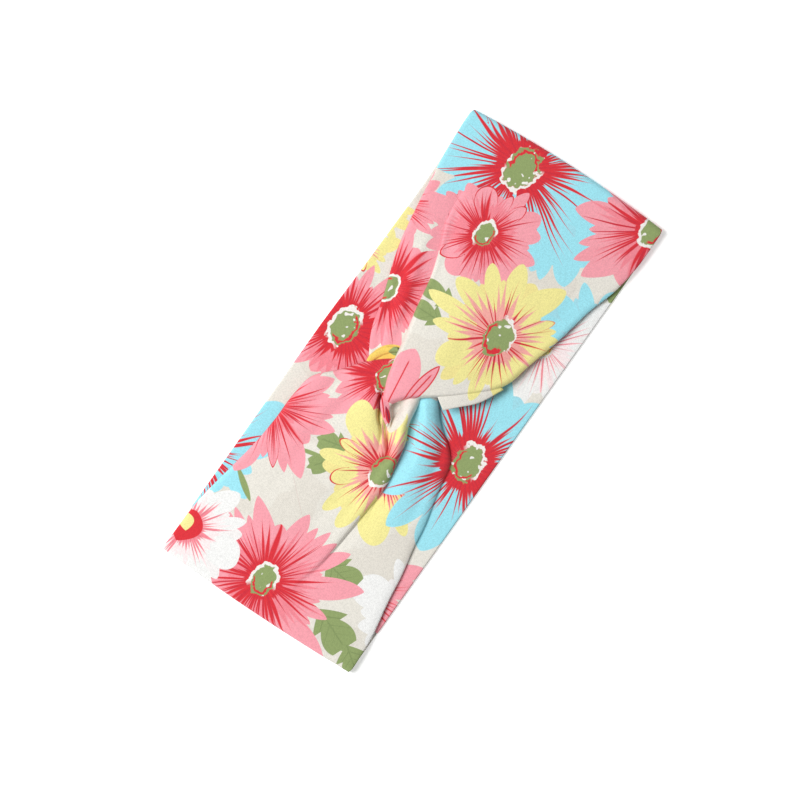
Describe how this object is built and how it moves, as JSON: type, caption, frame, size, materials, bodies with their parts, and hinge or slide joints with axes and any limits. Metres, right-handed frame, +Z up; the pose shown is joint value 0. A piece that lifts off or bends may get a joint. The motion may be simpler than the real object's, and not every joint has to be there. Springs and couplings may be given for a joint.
{
  "type": "knotted headband",
  "caption": "Wide stretch headband of printed jersey: two strips hooked through each other in a crossed knot at the front, joined to a doubled back, lying flat.",
  "frame": {"origin": "on the surface that the band lies on, under the middle of the knot and of the closed loop", "axes": "+X along the band towards the upper wrap's end, +Y across the band, +Z up through the knot, away from the head opening"},
  "size_m": [0.24, 0.1, 0.0122],
  "materials": {
    "upper_print": "matte knit, printed with daisies on cream",
    "lower_print": "matte knit, printed with daisies on cream",
    "back_print": "matte knit, printed with daisies on cream",
    "thread": "matte cream sewing thread"
  },
  "bodies": {
    "root": {"upper_wrap": "upper_print", "lower_wrap": "lower_print", "back_inner_panel": "back_print", "back_outer_panel": "back_print", "upper_wrap_edge_stitching": "thread", "lower_wrap_edge_stitching": "thread", "back_edge_stitching": "thread", "right_join_stitching": "thread", "left_join_stitching": "thread"}
  },
  "joints": []
}
